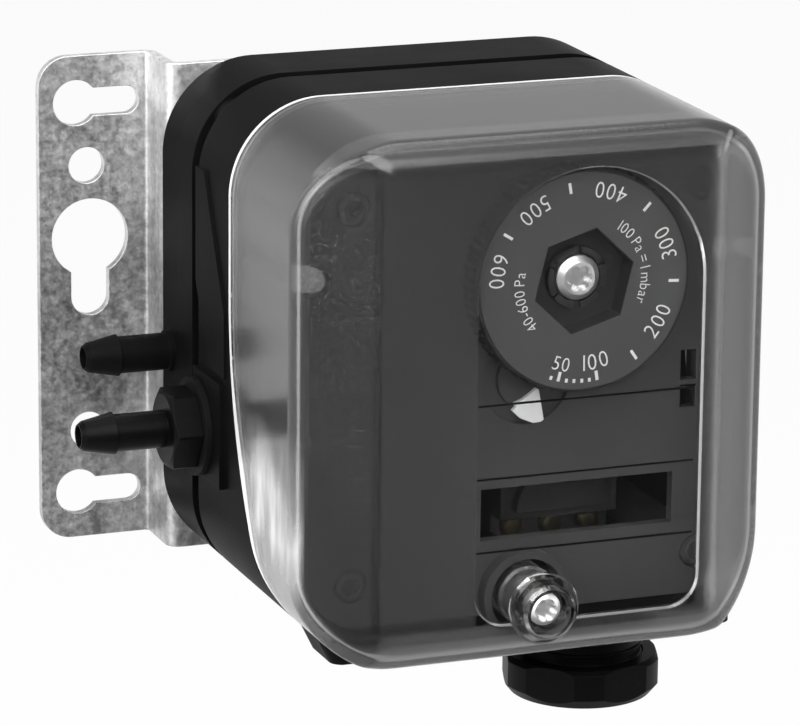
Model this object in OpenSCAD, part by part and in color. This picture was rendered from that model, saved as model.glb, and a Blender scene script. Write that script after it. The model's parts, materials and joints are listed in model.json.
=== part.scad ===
// Differential pressure switch for air, on a joggled wall bracket.
// Origin: middle of the wall face of the bracket, on the housing's centre line.
// X runs to the right, Z up, and the front of the switch faces -Y.
// Depths are measured forward from the wall, so a depth d lies at Y = -d.

/* [Housing] */
// Width of the housing and of the hood
body_w = 78; // [74:1:84]
// Height of the housing above the centre line
body_top = 41; // [39:1:45]
// Height of the housing below the centre line
body_bottom = 41.5; // [40:1:45]
// Radius of the four long corners
corner_r = 15; // [12:1:18]
// Moulded wall of the housing
wall_t = 2.6; // [2:0.2:3.2]
// Depth of the rear cover
rear_cover_d = 7; // [6.5:0.5:9]
// Depth of the diaphragm housing
chamber_d = 7.8; // [7:0.4:9]
// Depth of the switch base at its top edge
base_d = 17.5; // [16:0.5:20]
// Width of the groove round the back of the switch base
groove_w = 3.2; // [2:0.2:4]
// Depth of that groove
groove_in = 1; // [0.6:0.1:1.4]
// Radius of the forward sweep of the base's rim
rim_sweep_r = 68; // [64:1:80]
// Height at which the sweep starts
rim_sweep_z = 10; // [4:1:14]
// Thickness of the floors and the partition
floor_t = 2.4; // [2:0.2:3]
// Height of the feet under the base
foot_h = 2.5; // [2:0.1:4]
// Width of each foot
foot_w = 11; // [8:1:14]
// Length of each foot
foot_len = 15; // [12:0.5:18]
// Left foot's distance from the side wall
left_foot_in = 7; // [5:0.5:9]
// Right foot's distance from the side wall
right_foot_in = 1.2; // [0.6:0.2:2]

/* [Hood] */
// Depth of the hood from the rim at the top to its front face
hood_d = 37.6; // [35:0.5:42]
// Wall of the hood
hood_t = 2; // [1.6:0.1:2.4]
// Width of the slanted face on each side of the front
cheek_w = 11.4; // [9:0.5:13]
// Depth of the slanted face
cheek_d = 8.8; // [7:0.5:11]
// Height of the bevel along the top and bottom front edge
brow_h = 3.6; // [2:0.2:4.4]
// Depth of that bevel
brow_d = 2.8; // [2:0.2:3.6]
// Play between the hood and what it closes on
hood_gap = 0.3; // [0.2:0.05:0.4]
// Radius of the window's arched top
window_r = 18.4; // [17.5:0.1:19]
// Depth of the window's recess in the front face
window_in = 0.5; // [0.3:0.1:0.7]
// Bottom of the window below the centre line
window_bottom = 35.2; // [34:0.5:36]
// Distance between the sighting lines in the pane
line_pitch = 11.6; // [10:0.2:12.4]
// Sideways place of the cover screw
screw_x = -0.8; // [-3:0.2:2]
// Place of the cover screw below the centre line
screw_down = 33.2; // [32:0.2:33.6]
// Outer radius of the cover screw's sleeve
sleeve_r = 4.3; // [4:0.1:4.8]
// How far the sleeve stands proud of the front
sleeve_out = 3; // [2:0.2:4]

/* [Contact guard] */
// Distance from the side of the housing to the guard
guard_side = 2.9; // [2.9:0.1:6]
// Distance from the top and bottom of the housing to the guard
guard_end = 5.2; // [4:0.2:7]
// Corner radius of the guard
guard_r = 9.5; // [7:0.5:11]
// Wall of the guard
cover_t = 1.8; // [1.4:0.1:2.2]
// How far the guard's skirt steps forward below the sweep
skirt_step = 10; // [6:0.5:14]
// Height of the slot in each side of the guard
side_slot_z = 18.6; // [16:0.2:22]
// Width of that slot
side_slot_w = 3.6; // [3:0.2:5]
// Length of that slot in the guard's face
side_slot_len = 4; // [3:0.5:5.5]

/* [Bracket] */
// Thickness of the bracket's sheet
bracket_t = 1.5; // [1.2:0.1:2]
// Height of the bracket
bracket_h = 80.6; // [78:0.2:84]
// Outer corner radius of the bracket
bracket_r = 5; // [3:0.5:7]
// Step between the wall flange and the housing
joggle = 11.1; // [9:0.1:13]
// Distance from the centre line to the flange's free edge
flange_x = 56.3; // [55:0.1:60]
// Distance from the centre line to the outer bend
bend_x = 38.8; // [38.4:0.1:40]
// Width of the plate behind the housing
back_plate_w = 44; // [40:1:50]
// Keyhole's distance above and below the centre line
keyhole_z = 32.6; // [31:0.1:33.6]
// Radius of the keyhole's round part
keyhole_r = 3.75; // [3.2:0.05:4]
// Width of the keyhole's slot
keyhole_slot = 4.6; // [3.6:0.1:5]
// Radius of the two plain holes
hole_r = 3; // [2:0.1:3.2]
// Plain hole's distance above and below the centre line
hole_z = 22.2; // [21:0.1:22.8]
// Radius of the large keyhole
hang_r = 6.45; // [5:0.05:6.8]
// Width of the large keyhole's slot
hang_slot = 6.4; // [4:0.1:7]
// Height of the large keyhole's round part
hang_z = 10.2; // [9:0.1:11]
// Screw spacing on the back of the housing
back_screw_pitch = 42; // [36:1:46]

/* [Hose nipples] */
// Radius of a nipple's shank
nipple_r = 3; // [2.6:0.1:3.2]
// Radius over the barb
barb_r = 3.4; // [3.3:0.05:3.6]
// Radius of the bore
nipple_bore = 1.7; // [1.2:0.1:1.9]
// Height of the rear nipple
upper_nipple_z = -5.9; // [-8:0.1:-4]
// Height of the screwed nipple
lower_nipple_z = -13.9; // [-15.5:0.1:-13]
// Length of the rear nipple outside the wall
upper_nipple_len = 14.6; // [13:0.2:17]
// Length of the screwed nipple outside its hexagon
lower_nipple_len = 14; // [12:0.2:16]
// Hexagon of the screwed nipple, across flats
nipple_hex = 11.8; // [11:0.1:12.4]
// Length of that hexagon
nipple_hex_len = 4.6; // [4:0.2:6]
// Radius of the sealing washer
washer_r = 7.9; // [7.2:0.1:8.2]
// Thickness of the sealing washer
washer_t = 1; // [0.8:0.1:1.4]

/* [Cable gland] */
// Sideways place of the gland
gland_x = 15.9; // [12:0.2:18]
// Depth of the gland's axis
gland_d = 58; // [56.5:0.2:58.5]
// Radius of the threaded stub
gland_r = 9.9; // [9:0.1:10.2]
// Length of the stub below the base
stub_len = 10.5; // [9:0.5:12]
// Gland nut, across flats
nut_af = 24; // [23:0.2:26]
// Height of the gland nut
nut_h = 6.4; // [5:0.2:8]
// Radius of the opening for the cable
cable_r = 5; // [3:0.2:6]

/* [Setting dial] */
// Sideways place of the dial and of the window
dial_x = 6.4; // [5:0.2:8]
// Height of the dial's axis
dial_z = 17; // [16:0.2:18]
// Radius over the dial's milled edge
dial_r = 17.8; // [17:0.1:18]
// Thickness of the dial
dial_t = 5; // [4.6:0.1:5.4]
// Gap between the dial and the pane
pane_gap = 2.1; // [1.6:0.1:2.6]
// Depth of the dial's hexagonal recess
hex_in = 3.8; // [3.4:0.1:3.8]
// Hexagonal recess, corner to centre
hex_r = 8.4; // [7.5:0.1:9]
// Notches in the milled edge
notches = 72; // [48:4:90]
// Radius of the dial's spindle
spindle_r = 2; // [1.5:0.1:2.4]
// Running play of the spindle
spindle_play = 0.06; // [0.03:0.01:0.09]
// Radius of the dial screw's head
dial_screw_r = 3.5; // [3:0.1:3.8]

/* [Switch works] */
// Radius of the diaphragm
diaphragm_r = 30; // [27:0.5:31]
// Thickness of the diaphragm
diaphragm_t = 0.8; // [0.6:0.1:1]
// Radius of the diaphragm's plate
plate_r = 20; // [16:0.5:22]
// Thickness of that plate
plate_t = 1; // [0.8:0.1:1.4]
// Radius of the push pin
pin_r = 1.5; // [1.2:0.1:2]
// Running play of the push pin
pin_play = 0.06; // [0.03:0.01:0.09]
// Height of the lever's pivot
pivot_z = 32; // [31:0.5:33]
// Thickness of the lever
lever_t = 1.2; // [1:0.1:1.6]
// Width of the lever
lever_w = 9; // [8:0.5:12]
// Radius of the range spring's wire
wire_r = 0.5; // [0.4:0.05:0.7]
// Mean radius of the range spring
spring_r = 3.4; // [3:0.1:4]
// Coils of the range spring
coils = 7; // [5:1:9]
// Width of the terminal block
terminal_w = 20; // [18:0.5:20]
// Height of the terminal block
terminal_h = 12.4; // [11:0.2:12.8]
// Depth of the terminal block
terminal_d = 19; // [17:0.5:20]
// Width of the snap switch
switch_w = 22; // [20:0.5:24]
// Height of the snap switch
switch_h = 8.8; // [7.6:0.2:9.4]
// Depth of the snap switch
switch_t = 6.4; // [6:0.1:7]
// Number of terminals
terminals = 3; // [3:1:3]

/* [Hidden] */
$fn = 64;

eps = 0.01;
seat = 0.3;
back_d = bracket_t + joggle;
parting_d = back_d + rear_cover_d;
groove_d = parting_d + chamber_d;
floor_d = groove_d + groove_w;
rim_d = groove_d + base_d;
rim_drop = body_bottom + rim_sweep_z;
rim_low_d = rim_d + rim_sweep_r - sqrt(rim_sweep_r * rim_sweep_r - rim_drop * rim_drop);
front_d = rim_d + hood_d;
pane_d = front_d - hood_t;
dial_face_d = pane_d - pane_gap;
dial_back_d = dial_face_d - dial_t;
cover_face_d = dial_back_d - 0.5;
lip_out = 2.6;
skirt_gap = 0.5;
pillar_d = cover_face_d - 12;
works_d = floor_d + floor_t;
lever_d = works_d + 7;
lever_front_d = lever_d + lever_t;
screw_z = -screw_down;
pillar_r = sleeve_r + 0.3;
housing_screw_x = body_w / 2 - 7.5;
housing_screw_z = body_top - 7.5;
housing_screw_low = body_bottom - 7.5;
upper_nipple_d = back_d + nipple_r + 0.4;
lower_nipple_d = floor_d + 2;
wall_x = body_w / 2;
boss_out = 1;
rim_margin = 0.5;
foot_gap = 0.4;
block_gap = 0.5;
post_r = 3.2;
nut_seal = 0.8;
nut_grip = 3.8;
nut_top = body_bottom + stub_len - nut_grip + nut_seal;
switch_z = -15;
button_r = 1.4;
ear_w = 2.8;
switch_d = lever_front_d + 3.3;
guard_x = body_w / 2 - 10.5;
guard_z = body_top - 11.4;
guard_low = body_bottom - 11.9;
guard_gap = 0.8;
slot_in = 4.2;
guard_post_d = works_d + 8;
head_seat_d = front_d - 0.7;
well_x = -0.5;
well_z = 0.9;
seat_d = cover_face_d - 16;
block_x = 4.8;
block_z = -33.4;
guard_places = [[-guard_x, guard_z], [guard_x, guard_z], [-guard_x, -guard_low],
  [block_x + terminal_w + block_gap + post_r, -guard_low]];

// Places what is drawn in the X-Z plane at a depth, to be extruded forward
module fwd(depth) {
  translate([0, -depth, 0])
    rotate([90, 0, 0])
      children();
}

// Places a solid that is drawn along +Z so that it points to -X
module sideways(depth, z, x) {
  translate([x, -depth, z])
    rotate([0, -90, 0])
      children();
}

// Front view of the housing, drawn in by t
module outline(t = 0) {
  r = corner_r - t;
  w = body_w / 2 - t;
  top = body_top - t;
  low = body_bottom - t;
  union() {
    translate([-w + r, -low])
      square([2 * (w - r), top + low]);
    translate([-w, -low + r])
      square([2 * w, top + low - 2 * r]);
    for (x = [-w + r, w - r], z = [top - r, -low + r])
      translate([x, z])
        circle(r);
  }
}

// Ring between two insets of the outline
module outline_ring(outer, inner) {
  difference() {
    outline(outer);
    outline(inner);
  }
}

// All that lies in front of the rim, moved forward by t
module rim_space(t = 0) {
  far = 60;
  translate([-body_w, -rim_d - t - far, rim_sweep_z])
    cube([2 * body_w, far, body_top + 20]);
  translate([0, -rim_d - rim_sweep_r, rim_sweep_z])
    rotate([0, 90, 0])
      cylinder(h = 2 * body_w, r = rim_sweep_r - t, center = true, $fn = 180);
}

// Slanted line of a bevelled corner, set in by t, met with the side and the front
function bevel_side(a, f, bw, bd, t) =
  (bd * a + bw * (f - bd) - t * sqrt(bw * bw + bd * bd) - bd * (a - t)) / bw;
function bevel_front(a, f, bw, bd, t) =
  (bd * a + bw * (f - bd) - t * sqrt(bw * bw + bd * bd) - bw * (f - t)) / bd;

// Plan of the hood, seen from above
module hood_plan(t = 0) {
  a = body_w / 2;
  side = bevel_side(a, front_d, cheek_w, cheek_d, t);
  nose = bevel_front(a, front_d, cheek_w, cheek_d, t);
  polygon([[-a - 1, 0], [a + 1, 0], [a + 1, side - cheek_d / cheek_w * (t + 1)],
    [nose, front_d - t], [-nose, front_d - t], [-a - 1, side - cheek_d / cheek_w * (t + 1)]]);
}

// Side of the hood, with the bevel along its top and bottom
module hood_side(t = 0) {
  top_side = bevel_side(body_top, front_d, brow_h, brow_d, t);
  top_nose = bevel_front(body_top, front_d, brow_h, brow_d, t);
  low_side = bevel_side(body_bottom, front_d, brow_h, brow_d, t);
  low_nose = bevel_front(body_bottom, front_d, brow_h, brow_d, t);
  polygon([[0, body_top - t], [top_side, body_top - t], [front_d - t, top_nose],
    [front_d - t, -low_nose], [low_side, -body_bottom + t], [0, -body_bottom + t]]);
}

// The hood's outer form, set in by t
module hood_form(t = 0) {
  intersection() {
    fwd(groove_d)
      linear_extrude(front_d - groove_d - t)
        outline(t);
    translate([0, 0, -60])
      linear_extrude(120)
        mirror([0, 1])
          hood_plan(t);
    translate([-60, 0, 0])
      rotate([90, 0, 90])
        linear_extrude(120)
          mirror([1, 0])
            hood_side(t);
  }
}

// Arched window, drawn in by t
module window_shape(t = 0) {
  r = window_r - t;
  low = 5 - t;
  translate([dial_x, dial_z]) {
    circle(r, $fn = 96);
    translate([-r, -dial_z - window_bottom + t + low])
      square([2 * r, dial_z + window_bottom - t - low]);
    translate([-r + low, -dial_z - window_bottom + t])
      square([2 * (r - low), low]);
    for (x = [-r + low, r - low])
      translate([x, -dial_z - window_bottom + t + low])
        circle(low);
  }
}

// A barbed hose nipple along +Z, its tip at the top, solid
module nipple_form(length) {
  barb = 5.6;
  rotate_extrude()
    polygon([[0, 0], [nipple_r, 0], [nipple_r, length - barb], [barb_r, length - barb],
      [nipple_r * 0.8, length - 0.7], [nipple_r * 0.8 - 0.5, length], [0, length]]);
}

// A screw along +Z with its head at the top, for a hole of the same shank
module screw(shank_r, shank_len, head_r, head_h, socket_r = 0) {
  difference() {
    union() {
      translate([0, 0, -shank_len])
        cylinder(h = shank_len, r = shank_r);
      rotate_extrude()
        polygon([[0, 0], [head_r, 0], [head_r, head_h * 0.55],
          [head_r * 0.72, head_h * 0.92], [head_r * 0.45, head_h], [0, head_h]]);
    }
    if (socket_r > 0)
      translate([0, 0, head_h * 0.4])
        for (a = [0 : 60 : 300])
          rotate(a)
            translate([socket_r * 0.7, 0, 0])
              cylinder(h = head_h, r = socket_r * 0.38, $fn = 24);
    if (socket_r > 0)
      translate([0, 0, head_h * 0.4])
        cylinder(h = head_h, r = socket_r * 0.66, $fn = 32);
  }
}

// Joggled sheet seen from above, to be extruded upwards
module bracket_plan() {
  t = bracket_t;
  r = t + 0.8;
  union() {
    translate([-flange_x, -t])
      square([flange_x - bend_x, t]);
    translate([-bend_x, -r])
      intersection() {
        difference() {
          circle(r);
          circle(r - t);
        }
        square([r, r]);
      }
    translate([-bend_x + r - t, -joggle - t + r])
      square([t, joggle + t - 2 * r]);
    translate([-bend_x + 2 * r - t, -joggle - t + r])
      intersection() {
        difference() {
          circle(r);
          circle(r - t);
        }
        translate([-r, -r])
          square([r, r]);
      }
    translate([-bend_x + 2 * r - t, -joggle - t])
      square([back_plate_w, t]);
  }
}

// Outline of the bracket's sheet in the front view, with rounded free corners
module bracket_front() {
  right = -bend_x + 2 * (bracket_t + 0.8) - bracket_t + back_plate_w;
  h = bracket_h / 2;
  r = bracket_r;
  union() {
    translate([-flange_x + r, -h])
      square([flange_x + right - 2 * r, 2 * h]);
    translate([-flange_x, -h + r])
      square([flange_x + right, 2 * h - 2 * r]);
    for (x = [-flange_x + r, right - r], z = [-h + r, h - r])
      translate([x, z])
        circle(r);
  }
}

// A keyhole lying on its side, its slot to the right
module keyhole(r, slot, reach) {
  circle(r);
  translate([0, -slot / 2])
    square([reach - slot / 2, slot]);
  translate([reach - slot / 2, 0])
    circle(slot / 2);
}

module mounting_bracket() {
  key_x = -50.1;
  hole_x = -48.3;
  color("silver")
    difference() {
      intersection() {
        translate([0, 0, -bracket_h / 2])
          linear_extrude(bracket_h)
            bracket_plan();
        fwd(-1)
          linear_extrude(back_d + 2)
            bracket_front();
      }
      for (side = [-1, 1]) {
        fwd(-1)
          linear_extrude(bracket_t + 2)
            translate([key_x, side * keyhole_z])
              keyhole(keyhole_r, keyhole_slot, -bend_x - key_x - 0.6);
        translate([hole_x, -bracket_t - 1, side * hole_z])
          rotate([-90, 0, 0])
            cylinder(h = bracket_t + 2, r = hole_r);
        translate([0, -back_d - 1, side * back_screw_pitch / 2])
          rotate([-90, 0, 0])
            cylinder(h = bracket_t + 2, r = 2.2);
      }
      fwd(-1)
        linear_extrude(bracket_t + 2)
          translate([hole_x + 0.5, hang_z])
            rotate(-90)
              keyhole(hang_r, hang_slot, 13);
    }
}

module bracket_screws() {
  color("gainsboro")
    for (side = [-1, 1])
      translate([0, -back_d + bracket_t, side * back_screw_pitch / 2])
        rotate([-90, 0, 0])
          screw(1.7, bracket_t + floor_t + 1.6, 3.4, 2.2, 1.7);
}

// Corner pillars that take the housing screws, round a ring of the outline
module corner_pillars(r) {
  for (x = [-housing_screw_x, housing_screw_x], z = [housing_screw_z, -housing_screw_low])
    translate([x, z])
      circle(r);
}

module rear_cover() {
  rim_t = wall_t;
  color([0.09, 0.09, 0.1])
    difference() {
      union() {
        fwd(back_d)
          linear_extrude(floor_t)
            outline();
        fwd(back_d)
          linear_extrude(rear_cover_d)
            outline_ring(0, rim_t);
        fwd(back_d)
          linear_extrude(rear_cover_d)
            difference() {
              circle(diaphragm_r + 2.4, $fn = 120);
              circle(diaphragm_r - 3, $fn = 120);
            }
        fwd(back_d)
          linear_extrude(rear_cover_d)
            corner_pillars(4.2);
        for (side = [-1, 1])
          fwd(back_d)
            linear_extrude(floor_t + 2.2)
              translate([0, side * back_screw_pitch / 2])
                circle(3.6);
        translate([-wall_x + rim_t, -upper_nipple_d, upper_nipple_z])
          rotate([0, 90, 0])
            cylinder(h = wall_x - rim_t - diaphragm_r + 4, r = nipple_bore + 1.3);
        sideways(upper_nipple_d, upper_nipple_z, -wall_x + 0.5)
          nipple_form(upper_nipple_len + 0.5);
        sideways(upper_nipple_d, upper_nipple_z, -wall_x + 0.5)
          cylinder(h = 1.3, r = nipple_r + 0.35);
      }
      sideways(upper_nipple_d, upper_nipple_z, -diaphragm_r + 8)
        cylinder(h = wall_x + upper_nipple_len, r = nipple_bore);
      for (side = [-1, 1])
        translate([0, -back_d - floor_t - 1.8, side * back_screw_pitch / 2])
          rotate([-90, 0, 0])
            cylinder(h = floor_t + 3, r = 1.7);
      for (x = [-housing_screw_x, housing_screw_x], z = [housing_screw_z, -housing_screw_low])
        translate([x, -parting_d - 1, z])
          rotate([-90, 0, 0]) {
            cylinder(h = rear_cover_d + 2, r = 1.8);
            translate([0, 0, rear_cover_d - 1.4])
              cylinder(h = 4, r = 3.4);
          }
      fwd(parting_d - diaphragm_t)
        linear_extrude(diaphragm_t + 1)
          circle(diaphragm_r + 0.05, $fn = 120);
    }
}

module housing_screws() {
  color("gainsboro")
    for (x = [-housing_screw_x, housing_screw_x], z = [housing_screw_z, -housing_screw_low])
      translate([x, -back_d - 2.4, z])
        rotate([-90, 0, 0])
          screw(1.5, floor_d + 3 - back_d - 2.4, 3, 2, 1.5);
}

// Rubber disc with one round convolution, held at its edge
module diaphragm() {
  inner = plate_r + 0.6;
  fold = 1.8;
  mid = (diaphragm_r - 3 + inner) / 2;
  color([0.16, 0.16, 0.17])
    fwd(parting_d - diaphragm_t)
      rotate_extrude($fn = 120)
        union() {
          square([inner, diaphragm_t]);
          translate([inner - 0.4, 0])
            square([mid - fold - inner + 0.8, diaphragm_t]);
          translate([mid + fold - 0.4, 0])
            square([diaphragm_r - mid - fold + 0.4, diaphragm_t]);
          translate([mid, 0])
            intersection() {
              difference() {
                circle(fold, $fn = 48);
                circle(fold - diaphragm_t, $fn = 48);
              }
              translate([-fold, 0])
                square([2 * fold, fold]);
            }
        }
}

module diaphragm_plate() {
  color("lightgray")
    fwd(parting_d + seat)
      difference() {
        union() {
          cylinder(h = plate_t, r = plate_r, $fn = 96);
          cylinder(h = plate_t + 1.2, r = 4);
        }
        translate([0, 0, plate_t - 0.2])
          cylinder(h = 3, r = pin_r + pin_play);
      }
}

module push_pin() {
  start = parting_d + seat + plate_t;
  color("khaki")
    fwd(start) {
      cylinder(h = lever_d - seat - start - 0.8, r = pin_r);
      translate([0, 0, lever_d - seat - start - 0.8])
        intersection() {
          cylinder(h = 0.8, r = pin_r);
          translate([0, 0, -1.2])
            sphere(2);
        }
    }
}

module diaphragm_housing() {
  color([0.1, 0.1, 0.11])
    difference() {
      union() {
        fwd(parting_d)
          linear_extrude(chamber_d)
            outline_ring(0, wall_t);
        fwd(parting_d)
          linear_extrude(chamber_d)
            difference() {
              circle(diaphragm_r + 2.4, $fn = 120);
              circle(diaphragm_r - 3, $fn = 120);
            }
        fwd(groove_d - floor_t)
          linear_extrude(floor_t)
            outline();
        fwd(parting_d)
          linear_extrude(chamber_d)
            corner_pillars(4.2);
        fwd(groove_d - floor_t)
          cylinder(h = floor_t + groove_w - 0.4, r = pin_r + 2.4);
      }
      fwd(parting_d)
        cylinder(h = chamber_d + groove_w + 2, r = pin_r + pin_play);
      for (x = [-housing_screw_x, housing_screw_x], z = [housing_screw_z, -housing_screw_low])
        translate([x, -groove_d - 1, z])
          rotate([-90, 0, 0])
            cylinder(h = chamber_d + 2, r = 1.8);
      translate([-diaphragm_r + 4, -groove_d - 1, lower_nipple_z])
        rotate([-90, 0, 0])
          cylinder(h = floor_t + 2, r = nipple_bore);
    }
}

// Raised pad on the left wall that carries the screwed nipple
module nipple_pad() {
  translate([-wall_x - boss_out, -rim_d + 1.3, lower_nipple_z - 7.6])
    cube([boss_out + wall_t, base_d - groove_w - 1.3, 17]);
}

// Slanted raised panels on both side walls
module side_panels() {
  out = 0.5;
  rake = 0.465;
  low_z = -3.4;
  top_z = 27.8;
  near = floor_d + 6;
  for (x = [-wall_x - out, wall_x - 1])
    translate([x, 0, 0])
      rotate([90, 0, 90])
        linear_extrude(out + 1)
          polygon([[-floor_d, low_z + (near - floor_d) / rake], [-near, low_z],
            [-rim_d + 0.6, low_z], [-rim_d + 0.6, top_z - (rim_d - 0.6 - near + 2) / rake],
            [-near + 2, top_z], [-floor_d, top_z]]);
}

module switch_base() {
  neck = groove_in;
  lip_in = hood_t + hood_gap;
  color([0.08, 0.08, 0.09])
    difference() {
      union() {
        difference() {
          union() {
            fwd(floor_d)
              linear_extrude(front_d - floor_d - 8)
                outline_ring(0, wall_t + neck);
            side_panels();
            nipple_pad();
          }
          rim_space();
        }
        difference() {
          fwd(floor_d)
            linear_extrude(front_d - floor_d - 6)
              outline_ring(lip_in, wall_t + neck);
          rim_space(lip_out);
        }
        fwd(groove_d)
          linear_extrude(groove_w)
            outline_ring(neck, wall_t + neck + 0.6);
        fwd(floor_d)
          linear_extrude(floor_t)
            outline(1);
        fwd(groove_d)
          linear_extrude(floor_d - groove_d + 5)
            corner_pillars(4.2);
        fwd(floor_d)
          cylinder(h = floor_t + 2.4, r = pin_r + 2.4);
        fwd(floor_d) {
          translate([screw_x, screw_z, 0])
            cylinder(h = pillar_d - floor_d, r = pillar_r);
          for (x = [3 - switch_w / 2, switch_w / 2 - 3])
            translate([x, switch_z, 0])
              cylinder(h = switch_d - floor_d, r = 2.6);
          for (x = [-lever_w / 2 - ear_w - 0.6, lever_w / 2 + 0.6])
            translate([x, pivot_z - 3, 0])
              cube([ear_w, 5.4, lever_d - floor_d + 3]);
        }
        fwd(floor_d)
          linear_extrude(guard_post_d - floor_d)
            guard_points(post_r);
        sideways(lower_nipple_d, lower_nipple_z, -wall_x + 9)
          cylinder(h = 9, r = 5);
      }
      fwd(groove_d)
        cylinder(h = 12, r = pin_r + pin_play);
      fwd(pillar_d - 14)
        translate([screw_x, screw_z, 0])
          cylinder(h = 20, r = 1.6);
      sideways(lower_nipple_d, lower_nipple_z, -wall_x + 7)
        cylinder(h = 12, r = 3.6);
      sideways(lower_nipple_d, lower_nipple_z, -diaphragm_r + 4)
        cylinder(h = 12, r = nipple_bore);
      translate([-diaphragm_r + 4, -lower_nipple_d, lower_nipple_z])
        rotate([-90, 0, 0])
          cylinder(h = 10, r = nipple_bore);
      for (x = [-housing_screw_x, housing_screw_x], z = [housing_screw_z, -housing_screw_low])
        translate([x, -floor_d - 3.8, z])
          rotate([-90, 0, 0])
            cylinder(h = 9, r = 1.5);
      fwd(guard_post_d - 5)
        linear_extrude(8)
          guard_points(1.3);
      translate([-lever_w / 2 - 5, -lever_d, pivot_z])
        rotate([0, 90, 0])
          cylinder(h = lever_w + 10, r = 1);
      translate([gland_x, -gland_d, -body_bottom - 1])
        cylinder(h = wall_t + 4, r = gland_r - 1.2);
    }
}

// Threaded stub for the cable gland, set into the bottom wall with a spigot
module gland_body() {
  color([0.08, 0.08, 0.09])
    difference() {
      union() {
        translate([gland_x, -gland_d, -body_bottom - stub_len])
          cylinder(h = stub_len, r = gland_r - 0.35);
        difference() {
          translate([gland_x, -gland_d, -body_bottom - 1])
            cylinder(h = wall_t + 2.6, r = gland_r - 1.2);
          rim_space(-rim_margin);
        }
        for (i = [0 : 4])
          translate([gland_x, -gland_d, -body_bottom - stub_len + 0.8 + i * 1.9])
            rotate_extrude()
              polygon([[gland_r - 1, -0.7], [gland_r, -0.1], [gland_r, 0.1], [gland_r - 1, 0.7]]);
      }
      translate([gland_x, -gland_d, -body_bottom - stub_len - 1])
        cylinder(h = stub_len + 8, r = gland_r - 2.4);
    }
}

// Two rounded feet below the front corners, flush with the rim
module housing_feet() {
  places = [-wall_x + left_foot_in, wall_x - right_foot_in - foot_w];
  color([0.08, 0.08, 0.09])
    difference() {
      for (x = places)
        translate([x, -rim_low_d + 0.2, -body_bottom - foot_h])
          foot_block();
      fwd(floor_d)
        linear_extrude(front_d - floor_d)
          outline();
      translate([gland_x, -gland_d, -body_bottom - stub_len])
        cylinder(h = stub_len, r = gland_r + foot_gap);
    }
}

// Foot with rounded corners in plan and a small round along its lower front edge
module foot_block() {
  r = 3.6;
  edge = 0.8;
  rise = foot_h + corner_r;
  intersection() {
    linear_extrude(rise)
      union() {
        translate([r, 0])
          square([foot_w - 2 * r, foot_len]);
        translate([0, r])
          square([foot_w, foot_len - r]);
        for (x = [r, foot_w - r])
          translate([x, r])
            circle(r);
      }
    rotate([90, 0, 90])
      linear_extrude(foot_w)
        union() {
          translate([0, edge])
            square([foot_len, rise]);
          translate([edge, 0])
            square([foot_len - edge, 2 * edge]);
          translate([edge, edge])
            circle(edge);
        }
  }
}

module lower_hose_nipple() {
  hex_x = -wall_x - boss_out - washer_t;
  color([0.07, 0.07, 0.08])
    difference() {
      union() {
        sideways(lower_nipple_d, lower_nipple_z, hex_x)
          rotate(30)
            intersection() {
              cylinder(h = nipple_hex_len, r = nipple_hex / sqrt(3), $fn = 6);
              rotate_extrude()
                polygon([[0, 0], [nipple_hex / 2 + 0.8, 0],
                  [nipple_hex / 2 + 0.8, nipple_hex_len - 0.6],
                  [nipple_hex / 2 - 0.4, nipple_hex_len], [0, nipple_hex_len]]);
            }
        sideways(lower_nipple_d, lower_nipple_z, hex_x - nipple_hex_len + 1)
          nipple_form(lower_nipple_len + 1);
        sideways(lower_nipple_d, lower_nipple_z, hex_x + 7)
          cylinder(h = 8, r = 3.6);
      }
      sideways(lower_nipple_d, lower_nipple_z, hex_x + 8)
        cylinder(h = 40, r = nipple_bore);
    }
}

module nipple_washer() {
  color([0.05, 0.05, 0.06])
    sideways(lower_nipple_d, lower_nipple_z, -wall_x - boss_out)
      difference() {
        cylinder(h = washer_t, r = washer_r);
        translate([0, 0, -1])
          cylinder(h = washer_t + 2, r = 3.6);
      }
}

// Flat seal that lies on the rim inside the hood's edge
module cover_seal() {
  inner = hood_t + hood_gap;
  color([0.12, 0.12, 0.12])
    intersection() {
      fwd(groove_d)
        linear_extrude(front_d - groove_d)
          outline_ring(0.4, inner);
      difference() {
        rim_space();
        rim_space(hood_gap);
      }
    }
}

// Front view of the contact guard, drawn in by t
module guard_plan(t = 0) {
  r = guard_r - t;
  w = body_w / 2 - guard_side - t;
  top = body_top - guard_end - t;
  low = body_bottom - guard_end - t;
  translate([-w + r, -low])
    square([2 * (w - r), top + low]);
  translate([-w, -low + r])
    square([2 * w, top + low - 2 * r]);
  for (x = [-w + r, w - r], z = [top - r, -low + r])
    translate([x, z])
      circle(r);
}

// Skirt of the guard: it stands clear of the base's lip and steps forward below the sweep
module guard_skirt() {
  intersection() {
    difference() {
      fwd(rim_d)
        linear_extrude(cover_face_d - rim_d)
          difference() {
            guard_plan();
            guard_plan(cover_t);
          }
      translate([-body_w, -rim_d - skirt_step, -body_bottom])
        cube([2 * body_w, skirt_step + 1, body_bottom + rim_sweep_z]);
    }
    rim_space(lip_out + skirt_gap);
  }
}

// Slot with a round end in each side of the guard
module side_slots() {
  end_x = body_w / 2 - guard_side - side_slot_len;
  r = side_slot_w / 2;
  for (side = [-1, 1])
    translate([side * end_x, side_slot_z]) {
      translate([side > 0 ? r : -r, 0])
        circle(r);
      translate([side > 0 ? r : -r - 10, -r])
        square([10, side_slot_w]);
    }
}

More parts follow.
